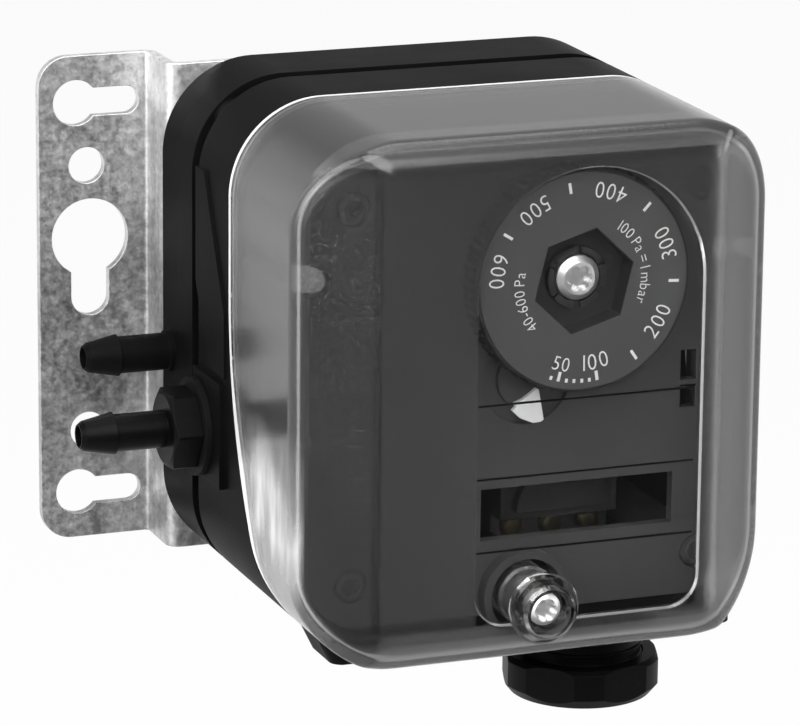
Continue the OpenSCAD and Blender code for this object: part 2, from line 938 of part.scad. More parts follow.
// Contact guard inside the hood: a tub with its open side to the back
module inner_cover() {
  guide = 9.4;
  color([0.2, 0.2, 0.21])
    intersection() {
      hood_form(hood_t + guard_gap);
      difference() {
        union() {
          guard_skirt();
          fwd(cover_face_d - cover_t)
            linear_extrude(cover_t)
              guard_plan();
          fwd(guard_post_d)
            linear_extrude(cover_face_d - guard_post_d)
              guard_points(post_r);
          fwd(cover_face_d - 19.4)
            translate([dial_x - guide / 2 - 1.8, dial_z - guide / 2 - 1.8, 0])
              cube([guide + 3.6, guide + 3.6, 18]);
          fwd(cover_face_d)
            translate([screw_x, screw_z, 0])
              cylinder(h = 2.4, r = sleeve_r + 2.9);
        }
        fwd(cover_face_d - 20)
          translate([dial_x - guide / 2, dial_z - guide / 2, 0])
            cube([guide, guide, 20 - cover_t]);
        fwd(cover_face_d - 3)
          translate([dial_x, dial_z, 0])
            cylinder(h = 6, r = spindle_r + spindle_play);
        fwd(rim_d)
          linear_extrude(cover_face_d - rim_d + 1)
            side_slots();
        fwd(rim_d)
          translate([screw_x, screw_z, 0])
            cylinder(h = cover_face_d - rim_d + 6, r = sleeve_r + 1.6);
        fwd(cover_face_d - 3)
          translate([dial_x - window_r + slot_in, switch_z - 9.4, 0])
            cube([2 * window_r - slot_in - 0.6, 8.2, 6]);
        for (z = [[-6, 3.6], [-1.6, 4.8]])
          fwd(cover_face_d - 3)
            translate([dial_x + window_r + 0.4, z[0], 0])
              cube([2.6, z[1], 6]);
        fwd(cover_face_d - 0.7)
          translate([well_x, well_z, 0])
            difference() {
              cylinder(h = 2, r = 7.2);
              translate([0, 0, -1])
                cylinder(h = 4, r = 4.8);
            }
        fwd(guard_post_d - 1)
          linear_extrude(cover_face_d - guard_post_d + 3)
            guard_points(1.5);
        fwd(cover_face_d - 1.2)
          linear_extrude(3)
            guard_points(2.7);
        translate([gland_x, -gland_d, -body_bottom])
          cylinder(h = 9, r = gland_r - 2.4);
      }
    }
}

// Where the contact guard is screwed to the base
module guard_points(r) {
  for (p = guard_places)
    translate(p)
      circle(r);
}

module guard_screws() {
  color([0.13, 0.13, 0.14])
    for (p = guard_places)
      fwd(cover_face_d - 1.2)
        translate(p)
          screw(1.25, cover_face_d - guard_post_d + 3, 2.4, 1.4, 1.3);
}

// Round plate with a finely milled edge and a deep hexagon in its middle
module setting_dial() {
  skirt = dial_t - 1.6;
  tip = dial_r;
  root = dial_r - 0.6;
  step = 360 / notches;
  color([0.33, 0.33, 0.34])
    fwd(dial_back_d)
      translate([dial_x, dial_z, 0])
        difference() {
          union() {
            linear_extrude(skirt)
              polygon([for (i = [0 : notches - 1], k = [0 : 3])
                let (a = step * (i + [0, 0.4, 0.5, 0.9][k]), r = k < 2 ? tip : root)
                  [r * cos(a), r * sin(a)]]);
            translate([0, 0, skirt])
              cylinder(h = dial_t - skirt - 0.3, r = root + 0.2, $fn = 120);
            cylinder(h = dial_t, r = root - 0.2, $fn = 120);
          }
          translate([0, 0, dial_t - hex_in])
            rotate(16.5)
              cylinder(h = hex_in + 1, r = hex_r, $fn = 6);
          translate([0, 0, -1])
            cylinder(h = 8, r = 1.3);
          translate([0, 0, -1])
            cylinder(h = 1.6, r = spindle_r + 0.3, $fn = 6);
        }
}

// Spindle with a hexagonal neck in the dial; the spring seat runs on it
module dial_spindle() {
  tail_d = seat_d - 4;
  neck = 0.5;
  color("silver")
    difference() {
      union() {
        fwd(tail_d)
          translate([dial_x, dial_z, 0])
            cylinder(h = dial_back_d - tail_d, r = spindle_r);
        fwd(dial_back_d - eps)
          translate([dial_x, dial_z, 0])
            cylinder(h = neck, r = spindle_r + 0.2, $fn = 6);
      }
      fwd(dial_back_d - 8)
        translate([dial_x, dial_z, 0])
          cylinder(h = 10, r = 1.2);
    }
}

// Black ring of raised segments round the dial's screw
module dial_ring() {
  floor_z = dial_face_d - hex_in;
  color([0.05, 0.05, 0.05])
    fwd(floor_z)
      translate([dial_x, dial_z, 0])
        difference() {
          union() {
            cylinder(h = 0.6, r = dial_screw_r + 1.4);
            for (a = [0 : 60 : 300])
              rotate(a)
                translate([0, 0, 0.6])
                  linear_extrude(0.7)
                    intersection() {
                      circle(dial_screw_r + 1.4);
                      polygon([[0, 0], [8, -3.4], [8, 3.4]]);
                    }
          }
          translate([0, 0, -1])
            cylinder(h = 4, r = dial_screw_r + 0.3);
        }
}

module dial_screw() {
  color("gainsboro")
    fwd(dial_face_d - hex_in)
      translate([dial_x, dial_z, 0])
        screw(1.1, 7, dial_screw_r, 2.2, dial_screw_r * 0.55);
}

// White arrow that points at the dial's edge
module pointer_arrow() {
  color("white")
    fwd(cover_face_d)
      translate([well_x, well_z, 0])
        linear_extrude(0.8)
          polygon([[1.3, -1.5], [1.7, -1.7], [2.6, -6.5], [2.1, -6.85], [0.8, -6.9], [-1.3, -6],
            [-2.6, -4.7], [-1.9, -4.1], [-2.6, -3.7], [-1, -3.1], [0.1, -2.4]]);
}

// Square nut that carries the front end of the range spring
module spring_seat() {
  color("goldenrod")
    fwd(seat_d)
      translate([dial_x, dial_z, 0])
        difference() {
          union() {
            translate([-4.4, -4.4, 0])
              cube([8.8, 8.8, 2.6]);
            translate([0, 0, -0.8])
              cylinder(h = 1, r = spring_r - wire_r - 0.15);
          }
          translate([0, 0, -2])
            cylinder(h = 6, r = spindle_r + spindle_play);
        }
}

// Round wire carried along a helix with closed end coils
module range_spring() {
  start = lever_front_d + wire_r + 0.1;
  finish = seat_d - wire_r - 0.1;
  sides = 8;
  per_turn = 18;
  steps = coils * per_turn;
  rise = finish - start;
  function level(i) =
    let (u = i / steps, lead = 1 / coils)
      start + rise * (u < lead ? 0.35 * u * u / lead
        : u > 1 - lead ? 1 - 0.35 * (1 - u) * (1 - u) / lead
        : 0.35 * lead + (u - lead) * (1 - 0.7 * lead) / (1 - 2 * lead));
  points = [for (i = [0 : steps], k = [0 : sides - 1])
    let (a = 360 * i / per_turn, b = 360 * k / sides, r = spring_r + wire_r * cos(b))
      [dial_x + r * cos(a), -level(i) - wire_r * sin(b), dial_z + r * sin(a)]];
  faces = concat([[for (k = [sides - 1 : -1 : 0]) k]],
    [for (i = [0 : steps - 1], k = [0 : sides - 1])
      let (n = (k + 1) % sides)
        [i * sides + k, i * sides + n, (i + 1) * sides + n, (i + 1) * sides + k]],
    [[for (k = [0 : sides - 1]) steps * sides + k]]);
  color("silver")
    polyhedron(points, faces, convexity = 6);
}

module switch_lever() {
  color("lightsteelblue")
    difference() {
      union() {
        translate([-lever_w / 2, -lever_d, pivot_z])
          rotate([0, 90, 0])
            cylinder(h = lever_w, r = 2);
        fwd(lever_d)
          translate([-lever_w / 2, switch_z - 3, 0])
            cube([lever_w, pivot_z - switch_z + 3, lever_t]);
        fwd(lever_d)
          translate([-lever_w / 2, dial_z - 7, 0])
            cube([lever_w / 2 + dial_x + 4.6, 14, lever_t]);
        fwd(lever_front_d)
          translate([dial_x, dial_z, 0])
            cylinder(h = 0.9, r = spring_r - wire_r - 0.4);
      }
      translate([-lever_w, -lever_d, pivot_z])
        rotate([0, 90, 0])
          cylinder(h = 2 * lever_w, r = 1.03);
    }
}

module lever_pin() {
  color("gray")
    translate([-lever_w / 2 - ear_w - 0.5, -lever_d, pivot_z])
      rotate([0, 90, 0])
        cylinder(h = lever_w + 2 * ear_w + 1, r = 0.98);
}

module microswitch() {
  color([0.1, 0.1, 0.12])
    fwd(switch_d)
      difference() {
        union() {
          translate([-switch_w / 2, switch_z - switch_h / 2, 0])
            cube([switch_w, switch_h, switch_t]);
          for (i = [-1 : 1])
            translate([i * (switch_w / 2 - 3) - 1.6, switch_z - 0.25, switch_t - 0.1])
              cube([3.2, 0.5, 4]);
        }
        translate([0, switch_z, -1])
          cylinder(h = 4.4, r = button_r + pin_play);
      }
}

module switch_button() {
  color("firebrick")
    fwd(lever_front_d + seat)
      translate([0, switch_z, 0])
        cylinder(h = switch_d - lever_front_d - seat + 1.6, r = button_r);
}

module terminal_block() {
  color([0.45, 0.45, 0.46])
    fwd(works_d)
      difference() {
        union() {
          translate([block_x, block_z, 0])
            cube([terminal_w, terminal_h, terminal_d - 6]);
          translate([block_x, block_z + 4.4, terminal_d - 7])
            cube([terminal_w, terminal_h - 4.4, 5]);
          translate([block_x + terminal_w / 2, block_z + 6, terminal_d - 6])
            intersection() {
              cylinder(h = 6, r = terminal_w * 0.4);
              translate([-terminal_w, 0, 0])
                cube([2 * terminal_w, terminal_h - 6, 6]);
            }
        }
        for (i = [0 : terminals - 1])
          translate([terminal_x(i), block_z + 2.2, terminal_d - 12])
            cylinder(h = 8, r = 1);
        for (i = [0 : terminals - 1])
          translate([terminal_x(i), block_z - 1, 5])
            rotate([-90, 0, 0])
              cylinder(h = 8, r = 1.6);
      }
}

function terminal_x(i) = block_x + terminal_w * (i + 0.5) / terminals;

module terminal_screws() {
  color("gold")
    for (i = [0 : terminals - 1])
      fwd(works_d + terminal_d - 6)
        translate([terminal_x(i), block_z + 2.2, 0])
          screw(0.9, 4, 1.9, 1.3);
}

// Sighting lines: three fine grooves across the back of the pane
module sighting_lines() {
  for (i = [0 : 2])
    translate([dial_x - window_r + 0.5, -pane_d - 0.25, -0.6 - i * line_pitch - 0.15])
      cube([2 * window_r - 1, 1, 0.3]);
}

module hood() {
  color([0.75, 0.77, 0.8, 0.45])
    difference() {
      union() {
        intersection() {
          difference() {
            hood_form();
            hood_form(hood_t);
          }
          rim_space(hood_gap);
        }
        fwd(pillar_d + seat)
          translate([screw_x, screw_z, 0])
            cylinder(h = front_d - pillar_d - seat + sleeve_out, r = sleeve_r);
        fwd(pane_d)
          translate([screw_x, screw_z, 0])
            cylinder(h = hood_t + 0.9, r = sleeve_r + 1.3);
      }
      fwd(front_d - window_in)
        linear_extrude(window_in + 1)
          difference() {
            window_shape();
            translate([screw_x, screw_z])
              circle(sleeve_r + 1.3);
          }
      sighting_lines();
      fwd(pillar_d - 1)
        translate([screw_x, screw_z, 0])
          cylinder(h = 40, r = 1.9);
      fwd(pillar_d + seat - 1)
        translate([screw_x, screw_z, 0])
          cylinder(h = head_seat_d - pillar_d - 2, r = 2.9);
      fwd(head_seat_d)
        translate([screw_x, screw_z, 0])
          cylinder(h = 10, r = sleeve_r - 1);
    }
}

module cover_screw() {
  color("gainsboro")
    fwd(head_seat_d)
      translate([screw_x, screw_z, 0])
        screw(1.5, head_seat_d - pillar_d + 9, 2.6, 2, 1.7);
}

module gland_nut() {
  color([0.06, 0.06, 0.07])
    translate([gland_x, -gland_d, -nut_top - nut_h])
      difference() {
        intersection() {
          rotate(14)
            cylinder(h = nut_h, r = nut_af / sqrt(3), $fn = 6);
          rotate_extrude($fn = 96)
            polygon([[0, 0], [nut_af / 2 - 0.6, 0], [nut_af / 2 + 0.7, 1.6],
              [nut_af / 2 + 0.7, nut_h - 0.7], [nut_af / 2, nut_h], [0, nut_h]]);
        }
        translate([0, 0, nut_h - nut_grip])
          cylinder(h = nut_h, r = gland_r + 0.1);
        translate([0, 0, -1])
          cylinder(h = nut_h + 2, r = cable_r + 1);
      }
}

// Rubber ring that the gland nut squeezes round the cable
module gland_seal() {
  end_z = -body_bottom - stub_len;
  color([0.15, 0.15, 0.15])
    translate([gland_x, -gland_d, end_z - nut_seal])
      difference() {
        union() {
          cylinder(h = nut_seal, r = gland_r - 1);
          cylinder(h = 6, r = gland_r - 2.45);
        }
        translate([0, 0, -1])
          cylinder(h = 12, r = cable_r);
      }
}

mounting_bracket();
bracket_screws();
rear_cover();
housing_screws();
diaphragm();
diaphragm_plate();
push_pin();
diaphragm_housing();
switch_base();
housing_feet();
lower_hose_nipple();
nipple_washer();
cover_seal();
inner_cover();
guard_screws();
setting_dial();
dial_spindle();
dial_ring();
dial_screw();
pointer_arrow();
spring_seat();
range_spring();
switch_lever();
lever_pin();
microswitch();
switch_button();
terminal_block();
terminal_screws();
hood();
cover_screw();
gland_body();
gland_nut();
gland_seal();
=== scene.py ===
import json
import math
import bpy
import numpy as np
from mathutils import Matrix, Vector


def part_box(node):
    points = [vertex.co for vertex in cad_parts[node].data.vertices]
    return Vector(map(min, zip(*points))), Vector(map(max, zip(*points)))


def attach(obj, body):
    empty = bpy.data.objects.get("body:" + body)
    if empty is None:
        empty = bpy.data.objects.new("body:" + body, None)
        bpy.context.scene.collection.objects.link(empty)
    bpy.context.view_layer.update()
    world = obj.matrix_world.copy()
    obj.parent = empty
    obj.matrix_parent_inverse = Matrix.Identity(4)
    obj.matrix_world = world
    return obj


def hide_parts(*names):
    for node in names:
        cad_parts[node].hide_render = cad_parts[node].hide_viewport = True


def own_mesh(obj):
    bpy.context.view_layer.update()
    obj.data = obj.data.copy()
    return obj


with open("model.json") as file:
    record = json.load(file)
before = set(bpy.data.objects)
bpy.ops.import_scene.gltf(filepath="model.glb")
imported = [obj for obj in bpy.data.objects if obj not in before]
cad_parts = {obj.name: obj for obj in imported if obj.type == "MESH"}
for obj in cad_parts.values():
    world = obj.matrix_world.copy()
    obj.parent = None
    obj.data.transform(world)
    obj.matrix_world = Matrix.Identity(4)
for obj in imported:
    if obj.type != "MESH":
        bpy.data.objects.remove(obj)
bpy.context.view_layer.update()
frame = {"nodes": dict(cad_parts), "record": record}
nodes = frame["nodes"]
MM = 0.001
HALF_W, TOP, LOW, CORNER = 39.0, 41.0, 41.5, 15.0
FRONT, WALL, RIM, SWEEP_R, SWEEP_Z = 82.5, 2.0, 44.9, 68.0, 10.0


def photo_camera():
    """Camera solved from the photograph: yaw 20.97, pitch 15.12 down, roll -0.57 degrees."""
    yaw, pitch, roll = math.radians(20.97), math.radians(15.12), -0.010028
    ahead = Vector((math.sin(yaw) * math.cos(pitch), math.cos(yaw) * math.cos(pitch), -math.sin(pitch)))
    right = Vector((math.cos(yaw), -math.sin(yaw), 0.0))
    down = ahead.cross(right)
    image_x = right * math.cos(roll) + down * math.sin(roll)
    image_y = down * math.cos(roll) - right * math.sin(roll)
    data = bpy.data.cameras.new("photo_camera")
    data.sensor_width = 36.0
    data.lens = 4991.1 * 36.0 / 800.0
    data.clip_start, data.clip_end = 0.05, 20.0
    cam = bpy.data.objects.new("photo_camera", data)
    turn = Matrix((image_x, -image_y, -ahead)).transposed().to_4x4()
    cam.matrix_world = Matrix.Translation((-0.2822, -0.75422, 0.20224)) @ turn
    bpy.context.scene.collection.objects.link(cam)
    bpy.context.scene.camera = cam
    return cam


photo_camera()


class Finish:
    """A node tree on a Principled shader, with short words for the nodes that the finishes use."""

    def __init__(self, name, **sockets):
        self.material = bpy.data.materials.new(name)
        self.material.use_nodes = True
        self.tree = self.material.node_tree
        self.shader = self.tree.nodes["Principled BSDF"]
        for key, value in sockets.items():
            self.shader.inputs[key.replace("_", " ")].default_value = value
        self.place = self.tree.nodes.new("ShaderNodeTexCoord").outputs["Object"]

    def node(self, kind, settings=(), **inputs):
        made = self.tree.nodes.new("ShaderNode" + kind)
        for key, value in dict(settings).items():
            setattr(made, key, value)
        for key, value in inputs.items():
            self.feed(made.inputs[key.replace("_", " ")], value)
        return made

    def feed(self, socket, value):
        if isinstance(value, bpy.types.NodeSocket):
            self.tree.links.new(value, socket)
        else:
            socket.default_value = value

    def stretched(self, x, y, z):
        """Object coordinates scaled by one factor per axis."""
        made = self.node("Mapping", Vector=self.place)
        made.inputs["Scale"].default_value = (x, y, z)
        return made.outputs["Vector"]

    def noise(self, scale, detail=3.0, rough=0.55, vector=None):
        made = self.node("TexNoise", Vector=vector or self.place, Scale=scale, Detail=detail, Roughness=rough)
        return made.outputs["Fac"]

    def cells(self, scale, feature="F1", vector=None):
        made = self.node("TexVoronoi", {"feature": feature}, Vector=vector or self.place, Scale=scale)
        return made.outputs

    def span(self, value, low, high, out_low=0.0, out_high=1.0):
        """Value carried linearly from low..high to out_low..out_high and held at the ends."""
        made = self.node("MapRange", Value=value)
        for key, number in zip(("From Min", "From Max", "To Min", "To Max"), (low, high, out_low, out_high)):
            made.inputs[key].default_value = number
        return made.outputs["Result"]

    def blend(self, factor, first, second):
        made = self.node("MixRGB", Fac=factor)
        self.feed(made.inputs["Color1"], first)
        self.feed(made.inputs["Color2"], second)
        return made.outputs["Color"]

    def maths(self, operation, a, b=0.0):
        made = self.node("Math", {"operation": operation})
        self.feed(made.inputs[0], a)
        self.feed(made.inputs[1], b)
        return made.outputs["Value"]

    def relief(self, height, depth, strength=1.0, normal=None):
        """Bump of a given depth in metres."""
        made = self.node("Bump", Height=height, Distance=depth, Strength=strength)
        if normal is not None:
            self.feed(made.inputs["Normal"], normal)
        return made.outputs["Normal"]

    def soft_edges(self, radius):
        """Normal that rounds the sharp edges over a radius in metres."""
        return self.node("Bevel", {"samples": 6}, Radius=radius).outputs["Normal"]

    def give(self, **sockets):
        for key, value in sockets.items():
            self.feed(self.shader.inputs[key.replace("_", " ")], value)
        return self.material


def grey(value, alpha=1.0):
    return (value, value, value, alpha)


def zinc_sheet():
    """Rolled zinc-coated sheet: fine mottling, upright drawn streaks, dull clouds and a few dark pits; painted light
    makes it lighter towards the top.
    """
    f = Finish("zinc_sheet", Metallic=1.0)
    mottle = f.noise(900.0, 3.0, 0.7)
    streak = f.noise(420.0, 3.0, 0.6, f.stretched(1.0, 1.0, 0.07))
    cloud = f.noise(52.0, 4.0, 0.6)
    tone = f.maths("ADD", f.maths("MULTIPLY", mottle, 0.42), f.maths("MULTIPLY", streak, 0.3))
    tone = f.maths("ADD", tone, f.maths("MULTIPLY", cloud, 0.6))
    # Painted light: the tone rises with height, so the sheet is painted lighter towards the top.
    height = f.node("SeparateXYZ", Vector=f.place).outputs["Z"]
    tone = f.maths("ADD", tone, f.span(height, 5.0 * MM, 40.0 * MM, -0.06, 0.16))
    colour = f.blend(f.span(tone, 0.44, 0.9), grey(0.3), grey(1.0))
    pits = f.maths("MULTIPLY", f.span(f.cells(620.0)["Distance"], 0.05, 0.16, 1.0, 0.0), f.span(cloud, 0.5, 0.62))
    colour = f.blend(f.maths("MULTIPLY", pits, 0.6), colour, grey(0.12))
    rough = f.span(mottle, 0.3, 0.7, 0.36, 0.5)
    normal = f.relief(mottle, 0.00003, 0.6, f.soft_edges(0.0002))
    return f.give(Base_Color=colour, Roughness=rough, Normal=normal)


def bright_zinc():
    """Plated screw steel with fine turning marks."""
    f = Finish("bright_zinc", Metallic=1.0)
    marks = f.noise(900.0, 2.0)
    return f.give(Base_Color=f.blend(marks, grey(0.62), grey(0.86)), Roughness=f.span(marks, 0.3, 0.7, 0.2, 0.34),
                  Normal=f.relief(marks, 0.00002))


def satin_screw():
    """Satin screw head: pale worn plating that spreads the lamps' light."""
    f = Finish("satin_screw", Metallic=0.8)
    marks = f.noise(800.0, 3.0)
    return f.give(Base_Color=f.blend(marks, grey(0.62), grey(0.84)), Roughness=f.span(marks, 0.3, 0.7, 0.3, 0.44),
                  Normal=f.relief(marks, 0.00003, 1.0, f.soft_edges(0.0002)))


def moulded(name, dark, light, rough_low, rough_high, grain=0.00002, dust=0.0, gloss=0.5, face=None):
    """Moulded plastic: fine spark-eroded grain, broad cloudy wear and a little dust. Where a face's depth is given,
    whatever lies behind that face is painted darker, as painted shade in a recess or on a milled edge."""
    f = Finish(name, Specular_IOR_Level=gloss)
    fine = f.noise(2600.0, 2.0)
    cloud = f.noise(38.0, 4.0, 0.6)
    specks = f.span(f.cells(900.0)["Distance"], 0.0, 0.09, 1.0, 0.0)
    colour = f.blend(f.span(cloud, 0.3, 0.7), grey(dark), grey(light))
    colour = f.blend(f.maths("MULTIPLY", specks, dust), colour, grey(0.4))
    # Painted shade: past the face's depth the colour is darkened to half.
    if face is not None:
        depth = f.node("SeparateXYZ", Vector=f.place).outputs["Y"]
        colour = f.blend(f.span(depth, (0.08 - face) * MM, (0.2 - face) * MM), colour, grey(0.5 * dark))
    return f.give(Base_Color=colour, Roughness=f.span(cloud, 0.3, 0.7, rough_low, rough_high),
                  Normal=f.relief(fine, grain, 1.0, f.soft_edges(0.00022)))


def turned_metal(name, colour, rough):
    """Bright turned metal with rings along the axis."""
    f = Finish(name, Metallic=1.0)
    marks = f.noise(700.0, 2.0)
    light = tuple(min(1.0, c * 1.15) for c in colour)
    return f.give(Base_Color=f.blend(marks, (*colour, 1.0), (*light, 1.0)), Roughness=f.span(marks, 0.3, 0.7, rough, rough + 0.12),
                  Normal=f.relief(marks, 0.00002))


def scratches(f):
    """Short fine scratches that run mostly level: rare crests of a long noise, kept where a broad noise is high."""
    line = f.noise(260.0, 2.0, 0.5, f.stretched(1.0, 1.0, 9.0))
    crest = f.span(f.maths("ABSOLUTE", f.maths("SUBTRACT", line, 0.62)), 0.0, 0.006, 1.0, 0.0)
    return f.maths("MULTIPLY", f.maths("MULTIPLY", crest, f.span(f.noise(210.0, 1.0), 0.56, 0.62)), 0.3)


def near_point(f, x, z, at_x, at_z, radius, one_sided=False):
    """1 within a radius of a line along Y, 0 outside; one-sided, the disc is drawn out towards -X as a slot."""
    along = f.maths("SUBTRACT", x, at_x * MM)
    if one_sided:
        along = f.maths("MAXIMUM", along, 0.0)
    down = f.maths("SUBTRACT", z, at_z * MM)
    far = f.maths("SQRT", f.maths("ADD", f.maths("POWER", along, 2.0), f.maths("POWER", down, 2.0)))
    return f.span(far, (radius - 0.1) * MM, (radius + 0.1) * MM, 1.0, 0.0)


def frosted_hood():
    """Clear styrene, etched outside the window. The window is a round arch on a straight-sided field. A band along the
    rim's curve, level and then round, is a painted highlight: painted nearly white and mostly opaque; it widens low on
    the sides."""
    f = Finish("frosted_hood", IOR=1.5)
    split = f.node("SeparateXYZ", Vector=f.place)
    x, y, z = (split.outputs[k] for k in "XYZ")
    across = f.maths("ABSOLUTE", f.maths("SUBTRACT", x, 6.4 * MM))
    above = f.maths("MAXIMUM", f.maths("SUBTRACT", z, 17.0 * MM), 0.0)
    reach = f.maths("SQRT", f.maths("ADD", f.maths("POWER", across, 2.0), f.maths("POWER", above, 2.0)))
    inside = f.span(reach, 18.3 * MM, 18.5 * MM, 1.0, 0.0)
    low = f.span(z, -35.3 * MM, -35.1 * MM, 0.0, 1.0)
    front = f.span(y, -79.6 * MM, -79.4 * MM, 1.0, 0.0)
    clear = f.maths("MULTIPLY", f.maths("MULTIPLY", inside, low), front)
    etched = f.maths("SUBTRACT", 1.0, clear)
    # Painted highlight: a band just ahead of the rim, along its curve, painted nearly white and mostly opaque; it
    # widens low on the sides.
    drop = f.maths("MAXIMUM", f.maths("SUBTRACT", SWEEP_Z * MM, z), 0.0)
    arc = f.maths("SQRT", f.maths("SUBTRACT", (SWEEP_R * MM) ** 2, f.maths("POWER", drop, 2.0)))
    ahead = f.maths("SUBTRACT", f.maths("ADD", f.maths("MULTIPLY", y, -1.0), arc), (RIM + SWEEP_R) * MM)
    highlight_widening = f.span(f.maths("ABSOLUTE", f.maths("ADD", z, 17.0 * MM)), 0.0, 16.0 * MM, 1.3 * MM, 0.0)
    painted_highlight = f.span(f.maths("SUBTRACT", ahead, highlight_widening), 1.1 * MM, 1.5 * MM, 1.0, 0.0)
    grain = f.noise(4600.0, 1.0, 0.6)
    frost = f.maths("MULTIPLY", etched, f.span(grain, 0.3, 0.7, 0.12, 0.22))
    forward = f.span(y, -73.9 * MM, -73.3 * MM, 1.0, 0.0)
    cheek = f.maths("MULTIPLY", forward, f.span(x, -27.75 * MM, -27.5 * MM, 1.0, 0.0))
    # Painted light: more haze beyond the guard's outline (an arch seen from the front), on a patch of the cheek and
    # round the sleeve.
    aside = f.maths("DIVIDE", f.maths("MAXIMUM", f.maths("SUBTRACT", -30.0 * MM, x), 0.0), 9.1 * MM)
    up = f.maths("DIVIDE", f.maths("MAXIMUM", f.maths("SUBTRACT", z, 27.8 * MM), 0.0), 9.75 * MM)
    arch = f.maths("ADD", f.maths("POWER", aside, 2.0), f.maths("POWER", up, 2.0))
    light_beyond_guard = f.maths("MULTIPLY", forward, f.span(arch, 0.98, 1.02))
    light_patch_on_cheek = f.maths("MULTIPLY", cheek, near_point(f, x, z, -36.8, 19.9, 2.1, one_sided=True))
    sleeve = f.maths("MULTIPLY", f.maths("SUBTRACT", 1.0, front), near_point(f, x, z, -0.8, -33.2, 5.9))
    # Painted highlight: a streaky bright band low on the left side wall, joined to the rim's painted highlight.
    drawn = f.noise(110.0, 3.0, 0.6, f.stretched(1.0, 1.0, 0.25))
    painted_streak = f.maths("MULTIPLY", f.span(f.maths("ABSOLUTE", f.maths("ADD", z, 19.0 * MM)), 4.0 * MM, 15.0 * MM, 1.0, 0.0),
                   f.maths("MULTIPLY", f.span(x, -38.0 * MM, -37.0 * MM, 1.0, 0.0), f.span(drawn, 0.36, 0.6, 0.25, 1.0)))
    # Painted highlight: a faint bright line 3.6 mm ahead of the rim, joined to the rim's painted highlight.
    faint_highlight_line = f.span(f.maths("ABSOLUTE", f.maths("SUBTRACT", ahead, 3.6 * MM)), 0.3 * MM, 1.4 * MM, 0.14, 0.0)
    # Haze is the etched skin's white scatter with painted light and shade in it: the cheek gets less than the rest so
    # that it reads darker, painted shade; on the cheek there are only light flecks, fading towards the bottom.
    haze_and_painted_light = f.maths("MULTIPLY", f.maths("SUBTRACT", 1.0, cheek), 0.03)
    specks = f.span(f.noise(2900.0, 2.0, 0.8), 0.48, 0.74, 0.0, 0.11)
    specks = f.maths("MULTIPLY", specks, f.span(z, -30.0 * MM, 20.0 * MM, 0.25, 1.0))
    haze_and_painted_light = f.maths("ADD", haze_and_painted_light, f.maths("MULTIPLY", cheek, specks))
    for zone, least, most in ((light_beyond_guard, 0.1, 0.24), (light_patch_on_cheek, 0.1, 0.14), (sleeve, 0.12, 0.18)):
        haze_and_painted_light = f.maths("ADD", haze_and_painted_light, f.maths("MULTIPLY", zone, f.span(grain, 0.3, 0.7, least, most)))
    haze_and_painted_light = f.maths("ADD", haze_and_painted_light, f.maths("MULTIPLY", scratches(f), f.maths("ADD", cheek, 0.25)))
    painted_highlight = f.maths("MAXIMUM", f.maths("MAXIMUM", painted_highlight, faint_highlight_line), f.maths("MULTIPLY", painted_streak, 0.85))
    solid = f.maths("MAXIMUM", f.maths("MULTIPLY", etched, haze_and_painted_light), f.maths("MULTIPLY", painted_highlight, 0.8))
    worn = f.blend(f.span(grain, 0.3, 0.7), grey(0.42), grey(0.6))
    # Painted shade: a dark line along the crease between the cheek and the front, fading out near the top.
    crease_shade = f.span(f.maths("ABSOLUTE", f.maths("ADD", x, 27.6 * MM)), 0.05 * MM, 0.3 * MM, 1.0, 0.0)
    crease_shade = f.maths("MULTIPLY", f.maths("MULTIPLY", crease_shade, forward), f.span(z, 35.0 * MM, 36.5 * MM, 0.45, 0.0))
    # Painted shade: the etched tint is darker on the right side, at the bottom, at the top and along the crease.
    painted_shade = f.maths("MAXIMUM", f.span(x, 31.0 * MM, 37.0 * MM, 0.0, 0.7), f.span(z, -38.5 * MM, -33.0 * MM, 0.85, 0.0))
    painted_shade = f.maths("MAXIMUM", f.maths("MAXIMUM", painted_shade, f.span(z, 35.5 * MM, 38.5 * MM)), crease_shade)
    tint = f.blend(painted_shade, worn, grey(0.17))
    tint = f.blend(etched, grey(0.98), tint)
    return f.give(Base_Color=f.blend(painted_highlight, tint, grey(0.97)), Roughness=f.maths("ADD", frost, 0.012),
                  Transmission_Weight=f.maths("SUBTRACT", 1.0, solid))


finishes = {
    "bracket": zinc_sheet(),
    "screws": bright_zinc(),
    "housing": moulded("black_housing", 0.003, 0.006, 0.42, 0.55, dust=0.05, gloss=0.025),
    "rubber": moulded("black_rubber", 0.004, 0.007, 0.6, 0.75, gloss=0.08),
    "plate": turned_metal("pressed_plate", (0.6, 0.6, 0.61), 0.35),
    "pin": moulded("natural_acetal", 0.62, 0.7, 0.35, 0.45),
    "fitting": moulded("black_fitting", 0.0022, 0.004, 0.34, 0.46, dust=0.05, gloss=0.06),
    "guard": moulded("guard_grey", 0.066, 0.077, 0.45, 0.55, gloss=0.1),
    "dial": moulded("dial_grey", 0.08, 0.092, 0.45, 0.55, gloss=0.15, face=78.4),
    "steel": turned_metal("ground_steel", (0.5, 0.5, 0.51), 0.25),
    "arrow": moulded("white_arrow", 0.94, 0.97, 0.5, 0.6),
    "brass": turned_metal("dull_brass", (0.3, 0.25, 0.16), 0.4),
    "button": moulded("button_grey", 0.04, 0.05, 0.35, 0.45),
    "terminals": moulded("terminal_grey", 0.11, 0.125, 0.45, 0.55, gloss=0.1),
    "washer": moulded("washer_grey", 0.034, 0.042, 0.45, 0.55, gloss=0.12),
    "screw_head": satin_screw(),
    "hood": frosted_hood(),
}
seen_apart = {"guard_screws": "guard", "dial_ring": "washer", "microswitch": "terminals", "dial_screw": "screw_head",
              "cover_screw": "screw_head"}
